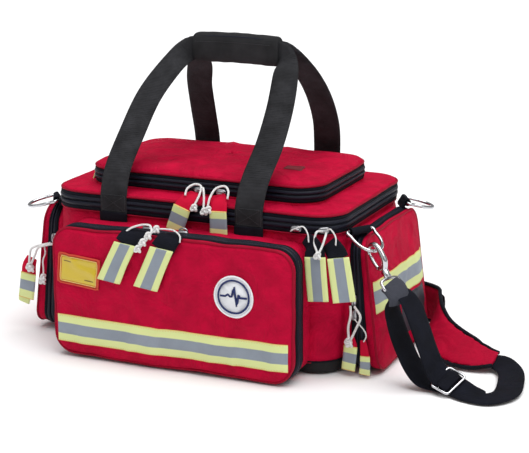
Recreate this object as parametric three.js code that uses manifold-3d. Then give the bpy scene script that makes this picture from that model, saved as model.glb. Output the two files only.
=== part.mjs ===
// Soft-sided emergency duffel: hollow body, hinged lid with its own pocket, front and side pockets,
// a pair of carry loops, four D-rings, zip sliders with pulls, and a padded shoulder strap.
// Millimetres. Origin at the middle of the base on the ground, +X to the right, -Y to the front, +Z up.
import * as THREE from 'three';
import { mergeVertices } from 'three/addons/utils/BufferGeometryUtils.js';
import Module from 'manifold-3d';

const wasm = await Module();
wasm.setup();

// ---- driving dimensions ----
const GAP = 0.3;                 // clearance between touching pieces
const WALL = 5;                  // padded wall
const BODY = { halfX: 232, halfY: 145, r: 45, base: 18, rim: 212, zip: 225, lidTape: 236, top: 241 };
const TOP = { halfX: 188, halfY: 114, r: 42, top: 275, zip: 258.5, tape: 267.5 };
const FRONT = { halfX: 192, low: 6, high: 199, r: 30, depth: 67, zip: 41.5, tape: 54, sill: 24 };
const SIDE = { halfY: 112, low: 8, high: 203, r: 28, depth: 58, zip: 28.4, taper: 0.45, sill: 24 };
const BEVEL = 8;                 // soft outer edge of every pocket
const WEB = 44;                  // carry webbing width
const STRAP = 38;                // shoulder webbing width
const RING = { x: 250, y: 100, z: 213, wide: 50, long: 47, wire: 5 };
const GRIP = { x0: -55, x1: 81, z: 446, high: 46, deep: 22 };

// ---- colours ----
const RED = 0xb4173a, BLACK = 0x1c1f2a, CHARCOAL = 0x3c3c3e, YELLOW = 0xdff07c, METAL = 0xb9bcc0;
const ID_YELLOW = 0xe2cf3c, WHITE = 0xf0f0f2;

const group = new THREE.Group();
group.name = 'first_responder_duffel';

function add(name, geometry, color, roughness = 0.85, metalness = 0) {
  const flat = geometry.index ? geometry.toNonIndexed() : geometry;
  flat.computeVertexNormals();
  const mesh = new THREE.Mesh(flat, new THREE.MeshStandardMaterial({ color, roughness, metalness }));
  mesh.name = name;
  group.add(mesh);
}

// ---- solids ----
function solid(geometry) {
  const g = geometry.clone();
  g.deleteAttribute('normal');
  g.deleteAttribute('uv');
  const m = mergeVertices(g, 1e-4);
  return new wasm.Manifold(new wasm.Mesh({
    numProp: 3,
    vertProperties: new Float32Array(m.attributes.position.array),
    triVerts: new Uint32Array(m.index.array),
  }));
}

function geometryOf(manifold) {
  const mesh = manifold.getMesh();
  const g = new THREE.BufferGeometry();
  const xyz = new Float32Array(mesh.numVert * 3);
  for (let i = 0; i < mesh.numVert; i++) {
    for (let k = 0; k < 3; k++) xyz[3 * i + k] = mesh.vertProperties[mesh.numProp * i + k];
  }
  g.setAttribute('position', new THREE.BufferAttribute(xyz, 3));
  g.setIndex(new THREE.BufferAttribute(new Uint32Array(mesh.triVerts), 1));
  return g;
}

function roundedRect(x0, x1, y0, y1, r) {
  const s = new THREE.Shape();
  s.moveTo(x0 + r, y0);
  s.lineTo(x1 - r, y0);
  s.absarc(x1 - r, y0 + r, r, -Math.PI / 2, 0, false);
  s.lineTo(x1, y1 - r);
  s.absarc(x1 - r, y1 - r, r, 0, Math.PI / 2, false);
  s.lineTo(x0 + r, y1);
  s.absarc(x0 + r, y1 - r, r, Math.PI / 2, Math.PI, false);
  s.lineTo(x0, y0 + r);
  s.absarc(x0 + r, y0 + r, r, Math.PI, 1.5 * Math.PI, false);
  return s;
}

// A prism of a shape from z0 to z1 with both ends bevelled by b.
function prism(shape, z0, z1, b = 0, curve = 5) {
  const g = new THREE.ExtrudeGeometry(shape, {
    depth: z1 - z0 - 2 * b, curveSegments: curve, steps: 1,
    bevelEnabled: b > 0, bevelSize: b, bevelThickness: b, bevelOffset: -b,
    bevelSegments: b > 3 ? 2 : 1,
  });
  return g.translate(0, 0, z0 + b);
}

function block(x0, x1, y0, y1, z0, z1) {
  const g = new THREE.BoxGeometry(x1 - x0, y1 - y0, z1 - z0);
  return solid(g.translate((x0 + x1) / 2, (y0 + y1) / 2, (z0 + z1) / 2));
}

const BIG = 900;
const above = (z) => block(-BIG, BIG, -BIG, BIG, z, BIG);
const below = (z) => block(-BIG, BIG, -BIG, BIG, -BIG, z);

// ---- flat webbing along a route ----
// Each station is { p, n, w, t }: point, face normal, width and thickness.
function ribbon(stations) {
  const count = stations.length;
  const xyz = [];
  const index = [];
  stations.forEach((s, i) => {
    const before = stations[Math.max(0, i - 1)].p;
    const after = stations[Math.min(count - 1, i + 1)].p;
    const t = after.clone().sub(before).normalize();
    const n = s.n.clone().addScaledVector(t, -s.n.dot(t)).normalize();
    const w = t.clone().cross(n);
    for (const [a, b] of [[1, 1], [-1, 1], [-1, -1], [1, -1]]) {
      const c = s.p.clone().addScaledVector(w, (a * s.w) / 2).addScaledVector(n, (b * s.t) / 2);
      xyz.push(c.x, c.y, c.z);
    }
  });
  for (let i = 0; i + 1 < count; i++) {
    for (let k = 0; k < 4; k++) {
      const a = 4 * i + k, b = 4 * i + ((k + 1) % 4);
      index.push(a, b + 4, b, a, a + 4, b + 4);
    }
  }
  const e = 4 * (count - 1);
  index.push(0, 1, 2, 0, 2, 3, e, e + 2, e + 1, e, e + 3, e + 2);
  const g = new THREE.BufferGeometry();
  g.setAttribute('position', new THREE.Float32BufferAttribute(xyz, 3));
  g.setIndex(index);
  return g;
}

// A smooth run of stations through [x, y, z, nx, ny, nz, width] rows.
function run(rows, steps, thickness) {
  const route = new THREE.CatmullRomCurve3(rows.map((r) => new THREE.Vector3(r[0], r[1], r[2])), false,
    'centripetal');
  const stations = [];
  for (let i = 0; i <= steps; i++) {
    const u = (i / steps) * (rows.length - 1);
    const k = Math.min(rows.length - 2, Math.floor(u));
    const f = u - k;
    const mix = (j) => rows[k][j] * (1 - f) + rows[k + 1][j] * f;
    stations.push({
      p: route.getPoint(i / steps),
      n: new THREE.Vector3(mix(3), mix(4), mix(5)).normalize(),
      w: mix(6),
      t: thickness,
    });
  }
  return stations;
}

// ---- body and main lid ----
const tubOuter = solid(prism(roundedRect(-BODY.halfX, BODY.halfX, -BODY.halfY, BODY.halfY, BODY.r),
  -10, BODY.top, 6));
const tubInner = solid(prism(roundedRect(-BODY.halfX + WALL, BODY.halfX - WALL, -BODY.halfY + WALL,
  BODY.halfY - WALL, BODY.r - WALL), BODY.base + 6, BODY.lidTape));
const tub = tubOuter.subtract(tubInner);
const slab = (m, low, high) => m.intersect(above(low)).intersect(below(high));

add('base_panel', prism(roundedRect(-BODY.halfX + 1, BODY.halfX - 1, -BODY.halfY + 1, BODY.halfY - 1,
  BODY.r - 1), 0, BODY.base, 5), BLACK);
add('body_shell', geometryOf(slab(tub, BODY.base + GAP, BODY.rim)), RED);
add('body_zip_tape', geometryOf(slab(tub, BODY.rim + GAP, BODY.zip - 0.4)), BLACK);
add('lid_zip_tape', geometryOf(slab(tub, BODY.zip + 0.4, BODY.lidTape)), BLACK);
add('main_lid', geometryOf(slab(tub, BODY.lidTape + GAP, BODY.top)), RED);

// ---- pocket on the lid ----
const topOuter = solid(prism(roundedRect(-TOP.halfX, TOP.halfX, -TOP.halfY, TOP.halfY, TOP.r),
  220, TOP.top, BEVEL));
const topInner = solid(prism(roundedRect(-TOP.halfX + WALL, TOP.halfX - WALL, -TOP.halfY + WALL,
  TOP.halfY - WALL, TOP.r - WALL), 200, TOP.top - WALL));
const topPocket = topOuter.subtract(topInner);
add('top_pocket_gusset', geometryOf(slab(topPocket, BODY.top + GAP, TOP.zip - 0.4)), RED);
add('top_cover_tape', geometryOf(slab(topPocket, TOP.zip + 0.4, TOP.tape)), BLACK);
add('top_cover', geometryOf(slab(topPocket, TOP.tape + GAP, TOP.top)), RED);
add('top_patch', prism(roundedRect(112, 142, -57, -41, 2), TOP.top + GAP, TOP.top + 1.5, 0, 2), CHARCOAL);

// ---- front pocket, built along its depth and then turned to face -Y ----
const toFront = new THREE.Matrix4().makeRotationX(Math.PI / 2).setPosition(0, -BODY.halfY, 0);
const frontOuter = solid(prism(roundedRect(-FRONT.halfX, FRONT.halfX, FRONT.low, FRONT.high, FRONT.r),
  -20, FRONT.depth, BEVEL));
const frontInner = solid(prism(roundedRect(-FRONT.halfX + WALL, FRONT.halfX - WALL, FRONT.low + WALL,
  FRONT.high - WALL, FRONT.r - WALL), -40, FRONT.depth - WALL));
const frontPocket = frontOuter.subtract(frontInner).intersect(above(GAP));
const upTo = (m, y) => m.intersect(block(-BIG, BIG, -BIG, y, -BIG, BIG));
const from = (m, y) => m.intersect(block(-BIG, BIG, y, BIG, -BIG, BIG));
const frontFlap = from(frontPocket.intersect(above(FRONT.zip + 0.4)), FRONT.sill + 0.3);
const frontFixed = frontPocket.intersect(below(FRONT.zip - 0.4))
  .add(upTo(frontPocket, FRONT.sill - 0.3));
const frontPart = (m) => geometryOf(m).applyMatrix4(toFront);
add('front_pocket_gusset', frontPart(frontFixed), RED);
add('front_flap_tape', frontPart(frontFlap.intersect(below(FRONT.tape - GAP))), BLACK);
add('front_flap', frontPart(frontFlap.intersect(above(FRONT.tape))), RED);
const onFront = (g) => g.applyMatrix4(toFront);
add('front_reflective', onFront(prism(roundedRect(-182, 182, 25, 65, 1), FRONT.depth + GAP,
  FRONT.depth + 1.5, 0, 1)), YELLOW, 0.4);
const idWindow = prism(roundedRect(-34, 34, -21, 21, 2), FRONT.depth + GAP, FRONT.depth + 2, 0, 2)
  .rotateZ(-0.06).translate(-147, 137, 0);
add('id_window', onFront(idWindow), ID_YELLOW, 0.5);
const disc = new THREE.Shape();
disc.absarc(105, 128, 31, 0, 2 * Math.PI, false);
add('round_patch', onFront(prism(disc, FRONT.depth + GAP, FRONT.depth + 2, 0, 14)), WHITE);

// ---- side pockets, built along their depth, thinner towards the top, one at each end ----
const toSide = new THREE.Matrix4().makeBasis(new THREE.Vector3(0, 1, 0), new THREE.Vector3(0, 0, 1),
  new THREE.Vector3(1, 0, 0));
const halfTurn = new THREE.Matrix4().makeRotationZ(Math.PI);
const taperAt = (z) => 1 - (SIDE.taper * (z - SIDE.low)) / (SIDE.high - SIDE.low);
function sidePart(geometry, left) {
  const g = geometry.clone().applyMatrix4(toSide);
  const p = g.attributes.position;
  for (let i = 0; i < p.count; i++) p.setX(i, BODY.halfX + p.getX(i) * taperAt(p.getZ(i)));
  return left ? g.applyMatrix4(halfTurn) : g;
}
const sideOuter = solid(prism(roundedRect(-SIDE.halfY, SIDE.halfY, SIDE.low, SIDE.high, SIDE.r),
  -20, SIDE.depth, BEVEL));
const sideInner = solid(prism(roundedRect(-SIDE.halfY + WALL, SIDE.halfY - WALL, SIDE.low + WALL,
  SIDE.high - WALL, SIDE.r - WALL), -40, SIDE.depth - WALL));
const sidePocket = sideOuter.subtract(sideInner).intersect(above(0.6));
const sideFixed = geometryOf(sidePocket.intersect(below(SIDE.zip - 0.5))
  .add(upTo(sidePocket, SIDE.sill - 0.3)));
const sideFlap = geometryOf(from(sidePocket.intersect(above(SIDE.zip + 0.5)), SIDE.sill + 0.3));
const sideStrip = prism(roundedRect(-98, 98, 94, 138, 1), SIDE.depth + 0.6, SIDE.depth + 2, 0, 1);
for (const [side, left] of [['right', false], ['left', true]]) {
  add(`${side}_pocket_gusset`, sidePart(sideFixed, left), RED);
  add(`${side}_flap`, sidePart(sideFlap, left), RED);
  add(`${side}_reflective`, sidePart(sideStrip, left), YELLOW, 0.4);
}
add('right_label', sidePart(prism(roundedRect(-20, 95, 34, 88, 2), SIDE.depth + 0.6, SIDE.depth + 2,
  0, 2), false), CHARCOAL);

// ---- D-rings: each hangs from a webbing tab on the fixed top of a side pocket ----
function ringFrame(sx, sy, droop) {
  const out = new THREE.Vector3(0.866 * sx, 0.5 * sy, 0);
  const bar = new THREE.Vector3(0, 0, 1).cross(out);
  const down = out.clone().multiplyScalar(Math.cos(droop)).add(new THREE.Vector3(0, 0, -Math.sin(droop)));
  return { out, bar, down, at: new THREE.Vector3(RING.x * sx, RING.y * sy, RING.z) };
}
function placed(geometry, x, y, z, at) {
  return geometry.applyMatrix4(new THREE.Matrix4().makeBasis(x, y, z).setPosition(at));
}
function dShape(half, length, w) {
  const s = new THREE.Shape();
  s.moveTo(-half, -w);
  s.lineTo(half, -w);
  s.lineTo(half, length - half * 0.9);
  s.bezierCurveTo(half, length + half * 0.12, -half, length + half * 0.12, -half, length - half * 0.9);
  return s;
}
function ringGeometry() {
  const w = RING.wire / 2;
  const s = dShape(RING.wide / 2, RING.long, w);
  s.holes.push(dShape(RING.wide / 2 - RING.wire, RING.long - RING.wire, -w));
  return prism(s, -w, w, 0.9, 8);
}
function tabGeometry() {
  const s = new THREE.Shape();
  s.moveTo(-9, -9.5);
  s.lineTo(-4, -9.5);
  s.absarc(0, 0, 5.6, Math.PI * 1.3, Math.PI * 2.62, false);
  s.lineTo(-9, -6);
  const hole = new THREE.Path();
  hole.absarc(0, 0, 3.9, 0, 2 * Math.PI, true);
  s.holes.push(hole);
  return prism(s, -17, 17, 0, 6);
}
const corners = [['front_right', 1, -1, 30], ['front_left', -1, -1, 14], ['rear_right', 1, 1, 14],
  ['rear_left', -1, 1, 30]];
for (const [name, sx, sy, degrees] of corners) {
  const f = ringFrame(sx, sy, THREE.MathUtils.degToRad(degrees));
  const up = new THREE.Vector3(0, 0, 1);
  add(`dring_${name}`, placed(ringGeometry(), f.bar, f.down, f.bar.clone().cross(f.down), f.at), METAL,
    0.25, 0.9);
  add(`ring_tab_${name}`, placed(tabGeometry(), f.out, up, f.out.clone().cross(up), f.at), BLACK);
}

// ---- zip sliders ----
function sliderGeometry(wide, long, tall) {
  return prism(roundedRect(-wide / 2, wide / 2, -long / 2, long / 2, 2), 0, tall, 0.8, 2);
}
const V = (x, y, z) => new THREE.Vector3(x, y, z);
function addSlider(name, along, out, at) {
  add(name, placed(sliderGeometry(18, 9, 5.5), along, out.clone().cross(along), out, at), METAL, 0.3, 0.8);
}
const corner30 = { x: BODY.halfX - BODY.r + (BODY.r + GAP) * 0.5,
  y: -BODY.halfY + BODY.r - (BODY.r + GAP) * 0.866 };
addSlider('main_slider_a', V(1, 0, 0), V(0, -1, 0), V(172, -BODY.halfY - GAP, 219));
addSlider('main_slider_b', V(0.866, 0.5, 0), V(0.5, -0.866, 0), V(corner30.x, corner30.y, 219));
addSlider('top_slider_a', V(1, 0, 0), V(0, -1, 0), V(4, -TOP.halfY - GAP, 252.5));
addSlider('top_slider_b', V(1, 0, 0), V(0, -1, 0), V(40, -TOP.halfY - GAP, 252.5));
addSlider('front_slider_a', V(1, 0, 0), V(0, 0, 1), V(-50, -BODY.halfY - 35.5, FRONT.high + GAP));
addSlider('front_slider_b', V(1, 0, 0), V(0, 0, 1), V(8, -BODY.halfY - 35.5, FRONT.high + GAP));
const slope = V(-SIDE.zip * SIDE.taper / (SIDE.high - SIDE.low), 0, 1).normalize();
const sideSliderX = (z) => BODY.halfX + (SIDE.zip - 6.5) * taperAt(z);
addSlider('right_slider_a', slope, V(0, -1, 0), V(sideSliderX(112), -SIDE.halfY - GAP, 112));
addSlider('right_slider_b', slope, V(0, -1, 0), V(sideSliderX(90), -SIDE.halfY - GAP, 90));
addSlider('left_slider_a', V(-slope.x, 0, slope.z), V(0, -1, 0),
  V(-sideSliderX(152), -SIDE.halfY - GAP, 152));

// ---- pulls: a cord loop running into a webbing tag ----
const PULL = 2.4;
function addPull(name, rows, steps = 8) {
  add(name, ribbon(run(rows, steps, PULL)), CHARCOAL);
}
addPull('main_pull_a', [[176, -153, 212, 0.2, -1, 0, 12], [194, -162, 207, 0.2, -1, 0, 16],
  [208, -170, 196, 0.1, -1, 0, 28], [210, -172, 183, 0, -1, 0, 31], [216, -174, 122, 0, -1, 0, 31]], 12);
addPull('main_pull_b', [[216, -149, 212, 0.4, -0.9, 0, 12], [228, -160, 205, 0.3, -0.95, 0, 24],
  [242, -168, 192, 0.2, -0.95, 0, 31], [246, -170, 184, 0.1, -0.98, 0, 31],
  [255, -172, 126, 0.1, -0.98, 0, 31]], 12);
addPull('top_pull_a', [[4, -122, 251, 0, -0.6, 0.8, 12], [3, -138, 246.5, 0, -0.4, 0.9, 26],
  [0, -150, 243, 0, -0.8, 0.6, 27], [-5, -152, 234, 0, -1, 0, 27], [-15, -152, 204, 0, -1, 0, 27]], 12);
addPull('top_pull_b', [[40, -122, 251, 0, -0.6, 0.8, 12], [45, -138, 246.5, 0, -0.4, 0.9, 26],
  [50, -150, 243, 0, -0.8, 0.6, 27], [53, -152, 234, 0, -1, 0, 27], [54, -152, 203, 0, -1, 0, 27]], 12);
addPull('front_pull_a', [[-50, -190, 203, 0, -0.1, 1, 14], [-53, -206, 203, 0, -0.3, 1, 32],
  [-58, -216, 198, 0, -1, 0.4, 34], [-67, -218, 186, 0, -1, 0, 34], [-94, -218, 131, 0, -1, 0, 34]], 12);
addPull('front_pull_b', [[8, -190, 203, 0, -0.1, 1, 14], [5, -206, 203, 0, -0.3, 1, 32],
  [1, -216, 198, 0, -1, 0.4, 34], [-7, -218, 185, 0, -1, 0, 34], [-33, -218, 127, 0, -1, 0, 34]], 12);
addPull('right_pull_a', [[sideSliderX(106) - 3, -120, 105, 0, -1, 0, 8], [242, -121, 84, 0, -1, 0, 8],
  [240, -122, 60, 0, -1, 0, 8], [248, -123, 44, 0, -1, 0, 20], [245, -124, 9, 0, -1, 0, 21]]);
addPull('right_pull_b', [[sideSliderX(84) + 3, -121, 83, 0, -1, 0, 8], [266, -123, 50, 0, -1, 0, 8],
  [271, -124, 32, 0, -1, 0, 14], [270, -125, 6, 0, -1, 0, 16]]);
addPull('left_pull_a', [[-sideSliderX(146), -120.5, 144, 0, -1, 0, 8],
  [-sideSliderX(146) - 1, -121, 136, 0, -1, 0, 10], [-288, -122, 108, 0, -1, 0, 10],
  [-291, -123, 92, 0, -1, 0, 26], [-295, -124, 46, 0, -1, 0, 26]]);

// ---- carry loops: one from the front, one from the rear, held together in the grip ----
const LIFT = 3;
function loopRows(s) {
  const face = BODY.halfY + 2;
  const top = 5 * s;
  const right = s < 0 ? 98 : 100, left = s < 0 ? -123 : -108;
  const n = [0, s, 0], lean = [0, 0.85 * s, 0.5];
  return [
    [left, face * s, 206, ...n, WEB], [left, face * s, 240, ...n, WEB],
    [left + 3, (face - 9) * s, 280, ...lean, WEB], [left + 11, 108 * s, 327, ...lean, WEB],
    [left + 22, 72 * s, 378, ...lean, WEB], [left + 40, 36 * s, 418, ...lean, WEB - 2],
    [GRIP.x0 - 14, 9 * s, GRIP.z - 7, ...n, WEB - 8], [GRIP.x0 + 4, top, GRIP.z, ...n, 34],
    [GRIP.x0 / 2 + GRIP.x1 / 2, top, GRIP.z, ...n, 34], [GRIP.x1 - 4, top, GRIP.z, ...n, 34],
    [GRIP.x1 + 14, 9 * s, GRIP.z - 8, ...n, WEB - 8],
    [right + 8, 36 * s, 414, ...lean, WEB - 2], [right + 15, 72 * s, 374, ...lean, WEB],
    [right + 14, 108 * s, 326, ...lean, WEB], [right + 5, (face - 9) * s, 280, ...lean, WEB],
    [right, face * s, 240, ...n, WEB], [right, face * s, 206, ...n, WEB],
  ];
}
add('front_handle', ribbon(run(loopRows(-1), 48, LIFT)), CHARCOAL);
add('rear_handle', ribbon(run(loopRows(1), 48, LIFT)), CHARCOAL);
// The grip is a folded pad round the rear loop, open to the front where the front loop lies in it.
const gripShape = new THREE.Shape();
gripShape.moveTo(-11, -23);
gripShape.lineTo(11, -23);
gripShape.lineTo(11, 23);
gripShape.lineTo(-11, 23);
gripShape.lineTo(-11, 20.8);
gripShape.lineTo(8, 20.8);
gripShape.lineTo(8, -20.8);
gripShape.lineTo(-11, -20.8);
add('grip_wrap', placed(prism(gripShape, GRIP.x0, GRIP.x1, 0), V(0, 1, 0), V(0, 0, 1), V(1, 0, 0),
  V(0, 0, GRIP.z)), BLACK);

// ---- snap hooks: jaw round the D-ring, swivel barrel, and an eye for the webbing turned across the jaw ----
function jawShape() {
  const s = new THREE.Shape();
  s.moveTo(-14, -2);
  s.absarc(0, 0, 14, Math.PI, 0.35, true);
  s.absarc(0, 0, 10, 0.42, Math.PI, false);
  s.lineTo(-10, -20);
  s.lineTo(3, -25);
  s.lineTo(3, -36);
  s.lineTo(-3, -36);
  s.lineTo(-3, -30);
  s.lineTo(-14, -24);
  return s;
}
function eyeShape() {
  const s = new THREE.Shape();
  s.moveTo(-4, -39);
  s.lineTo(-16, -43);
  s.lineTo(-18, -46);
  s.lineTo(-18, -62);
  s.lineTo(18, -62);
  s.lineTo(18, -46);
  s.lineTo(16, -43);
  s.lineTo(4, -39);
  const eye = new THREE.Path();
  eye.moveTo(-14.5, -57.5);
  eye.lineTo(14.5, -57.5);
  eye.lineTo(14.5, -48);
  eye.lineTo(-14.5, -48);
  s.holes.push(eye);
  return s;
}
function hookGeometry() {
  const jaw = solid(prism(jawShape(), -2.5, 2.5, 0, 6));
  const barrel = solid(new THREE.CylinderGeometry(5, 5, 10, 12).translate(0, -37, 0));
  const eye = solid(prism(eyeShape(), -2, 2, 0, 4).rotateY(Math.PI / 2));
  return geometryOf(jaw.add(barrel).add(eye));
}
function gateShape() {
  const s = new THREE.Shape();
  s.moveTo(9.2, 3.2);
  s.lineTo(12.8, 3.2);
  s.lineTo(12.8, -20);
  s.lineTo(9, -25);
  s.lineTo(5.5, -23.5);
  s.lineTo(6, -20);
  s.lineTo(9.2, -17.6);
  return s;
}
function hookFrame(left) {
  const f = ringFrame(1, -1, THREE.MathUtils.degToRad(30));
  const at = f.at.clone().addScaledVector(f.down, RING.long - 5.5).addScaledVector(f.bar, -4.5);
  const y = V(-0.607, 0.272, 0.748).normalize();
  const z = f.bar.clone().addScaledVector(y, -f.bar.dot(y)).normalize();
  const m = new THREE.Matrix4().makeBasis(y.clone().cross(z), y, z).setPosition(at.addScaledVector(y, -4.5));
  return left ? halfTurn.clone().multiply(m) : m;
}
for (const [name, left] of [['front', false], ['rear', true]]) {
  const frame = hookFrame(left);
  add(`${name}_hook`, hookGeometry().applyMatrix4(frame), METAL, 0.25, 0.9);
  add(`${name}_hook_gate`, prism(gateShape(), -2, 2, 0, 2).applyMatrix4(frame), METAL, 0.25, 0.9);
}

// ---- shoulder strap: webbing, pad, webbing ----
const eyeAt = (left) => V(0, -60, 0).applyMatrix4(hookFrame(left));
const e1 = eyeAt(false), e2 = eyeAt(true);
add('strap_front', ribbon(run([
  [e1.x + 5, e1.y - 2, e1.z - 6.2, 0.65, -0.37, 0.66, 28], [331, -141, 110, 0.85, -0.4, 0.3, STRAP],
  [345, -139, 70, 0.88, -0.4, 0.25, STRAP], [357, -137, 31, 0.75, -0.4, 0.55, STRAP],
  [369, -132, 15, 0.35, -0.2, 0.92, STRAP], [391, -131, 6.5, 0.1, 0, 1, STRAP], [425, -148, 4, 0, 0, 1, STRAP],
  [462, -146, 4, 0, 0, 1, STRAP], [478, -112, 5, 0, 0, 1, STRAP], [479, -66, 6, 0, 0, 1, STRAP],
  [470, -29, 8, -0.05, -0.1, 0.98, STRAP], [449, -13, 12, -0.12, -0.2, 0.97, STRAP],
], 56, 3)), BLACK);
add('shoulder_pad', ribbon(run([
  [436, -13, 16, -0.12, -0.2, 0.97, 40], [410, -13, 16, -0.2, -0.3, 0.93, 54],
  [384, -8, 18.5, -0.26, -0.38, 0.89, 60], [346, 18, 22.5, -0.4, -0.42, 0.81, 60],
  [318, 50, 26, -0.58, -0.38, 0.72, 60], [306, 84, 30.5, -0.85, -0.3, 0.42, 60],
  [303, 118, 34, -0.97, -0.25, 0.05, 60], [288, 152, 34, -0.68, -0.73, 0, 60],
  [240, 174, 34, -0.1, -1, 0, 60], [170, 177, 34, 0, -1, 0, 60], [120, 178, 34, 0, -1, 0, 56],
  [98, 178, 33, 0, -1, 0, 40],
], 40, 9)), RED);
add('strap_rear', ribbon(run([
  [92, 178, 33, 0, -1, 0, STRAP], [20, 176, 26, 0, -1, 0, STRAP], [-80, 172, 24, 0, -1, 0, STRAP],
  [-180, 170, 28, 0, -1, 0, STRAP], [-255, 168, 40, 0.3, -0.95, 0, STRAP],
  [-305, 158, 66, 0.75, -0.6, -0.1, STRAP], [-328, 145, 105, 0.85, -0.35, -0.35, STRAP],
  [e2.x - 5, e2.y + 2, e2.z - 6.2, 0.65, -0.37, -0.66, 28],
], 44, 3)), BLACK);
// Ladder buckle lying on the webbing in front.
const buckle = roundedRect(-25, 25, -17, 17, 3);
for (const x of [-15, 4]) buckle.holes.push(roundedRect(x, x + 11, -13, 13, 1));
const along = V(56, -17, -11).normalize();
const rise = V(0, 0, 1).addScaledVector(along, -along.z).normalize();
add('strap_buckle', placed(prism(buckle, 0, 3, 0, 2), along, rise.clone().cross(along), rise, V(397, -139, 13)),
  METAL, 0.3, 0.8);

export default group;
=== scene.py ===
import math

import bpy
import numpy as np
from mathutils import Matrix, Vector, noise


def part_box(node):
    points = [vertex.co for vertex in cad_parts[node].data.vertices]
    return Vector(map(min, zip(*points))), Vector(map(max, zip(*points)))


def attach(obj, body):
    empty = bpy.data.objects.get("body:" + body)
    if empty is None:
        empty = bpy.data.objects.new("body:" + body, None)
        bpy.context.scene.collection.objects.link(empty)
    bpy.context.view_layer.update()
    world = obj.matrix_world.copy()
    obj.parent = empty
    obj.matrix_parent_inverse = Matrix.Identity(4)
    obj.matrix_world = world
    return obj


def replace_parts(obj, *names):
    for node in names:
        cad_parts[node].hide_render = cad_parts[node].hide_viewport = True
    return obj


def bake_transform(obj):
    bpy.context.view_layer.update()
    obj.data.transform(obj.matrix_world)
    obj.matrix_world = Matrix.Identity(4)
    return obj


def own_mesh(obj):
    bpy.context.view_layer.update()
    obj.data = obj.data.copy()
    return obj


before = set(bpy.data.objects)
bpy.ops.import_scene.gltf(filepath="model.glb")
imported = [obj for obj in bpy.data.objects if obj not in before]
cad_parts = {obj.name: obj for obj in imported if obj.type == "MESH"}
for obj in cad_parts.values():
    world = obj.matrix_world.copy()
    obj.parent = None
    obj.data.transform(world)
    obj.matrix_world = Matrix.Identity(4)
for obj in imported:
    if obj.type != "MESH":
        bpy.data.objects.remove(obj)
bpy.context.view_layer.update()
scene = bpy.context.scene
MM = 0.001  # shapes below are written in millimetres


# ---- camera ----
AZ, EL, DIST = math.radians(23.68), math.radians(14.5), 2.584
AIM = Vector((0.0633, -0.0137, 0.1786))
BACK = Vector((math.sin(AZ) * math.cos(EL), -math.cos(AZ) * math.cos(EL), math.sin(EL)))
cam = bpy.data.objects.new("camera", bpy.data.cameras.new("camera"))
scene.collection.objects.link(cam)
cam.location = AIM + BACK * DIST
cam.rotation_euler = (-BACK).to_track_quat("-Z", "Y").to_euler()
cam.data.sensor_width = 36
cam.data.lens = 115.2
scene.camera = cam


# ---- materials ----
def lin(r, g, b):
    """An sRGB colour, 0 to 255, as linear RGBA."""

    def f(c):
        c /= 255
        return c / 12.92 if c <= 0.04045 else ((c + 0.055) / 1.055) ** 2.4

    return (f(r), f(g), f(b), 1)


def material(
    name, rgb, rough=0.8, metal=0.0, weave=0.0, depth=0.25, blotch=0.0, sheen=0.0, grain=0.0, coat=0.0,
    spec=0.5, crease=0.0,
):
    """weave is the thread pitch in mm and grain the scale of a fine noise; depth is the strength of their bump.
    blotch is the share of uneven dye, and crease the strength of broad soft wrinkles."""
    m = bpy.data.materials.new(name)
    m.use_nodes = True
    nt = m.node_tree
    shader = nt.nodes["Principled BSDF"]
    colour = lin(*rgb)
    for socket, value in (
        ("Base Color", colour), ("Roughness", rough), ("Metallic", metal),
        ("Sheen Weight", sheen), ("Coat Weight", coat), ("Specular IOR Level", spec),
    ):
        shader.inputs[socket].default_value = value
    coords = nt.nodes.new("ShaderNodeTexCoord").outputs["Object"]

    def texture(kind, **values):
        node = nt.nodes.new("ShaderNodeTex" + kind)
        for key, value in values.items():
            node.inputs[key].default_value = value
        nt.links.new(coords, node.inputs["Vector"])
        return node

    def bump(height, strength, distance):
        node = nt.nodes.new("ShaderNodeBump")
        node.inputs["Strength"].default_value = strength
        node.inputs["Distance"].default_value = distance
        nt.links.new(height, node.inputs["Height"])
        return node

    if blotch:
        ramp = nt.nodes.new("ShaderNodeValToRGB")
        for element, position, k in zip(ramp.color_ramp.elements, (0.3, 0.7), (1 - blotch, 1 + blotch)):
            element.position = position
            element.color = [min(1, x * k) for x in colour[:3]] + [1]
        nt.links.new(texture("Noise", Scale=38, Detail=5).outputs["Fac"], ramp.inputs["Fac"])
        nt.links.new(ramp.outputs["Color"], shader.inputs["Base Color"])
    heights = []
    if weave:
        for axis in "XYZ":
            w = texture("Wave", Scale=2 * math.pi / (20 * weave * MM), Distortion=0.6, Detail=1)
            w.wave_type = "BANDS"
            w.bands_direction = axis
            heights.append(w.outputs["Fac"])
    if grain:
        heights.append(texture("Noise", Scale=grain, Detail=3).outputs["Fac"])
    if heights:
        height = heights[0]
        for other in heights[1:]:
            total = nt.nodes.new("ShaderNodeMath")
            nt.links.new(height, total.inputs[0])
            nt.links.new(other, total.inputs[1])
            height = total.outputs[0]
        fine = bump(height, depth, 0.0004)
        if crease:
            soft = bump(texture("Noise", Scale=17, Detail=3, Distortion=1.6).outputs["Fac"], crease, 0.01)
            nt.links.new(soft.outputs["Normal"], fine.inputs["Normal"])
        nt.links.new(fine.outputs["Normal"], shader.inputs["Normal"])
    return m


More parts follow.
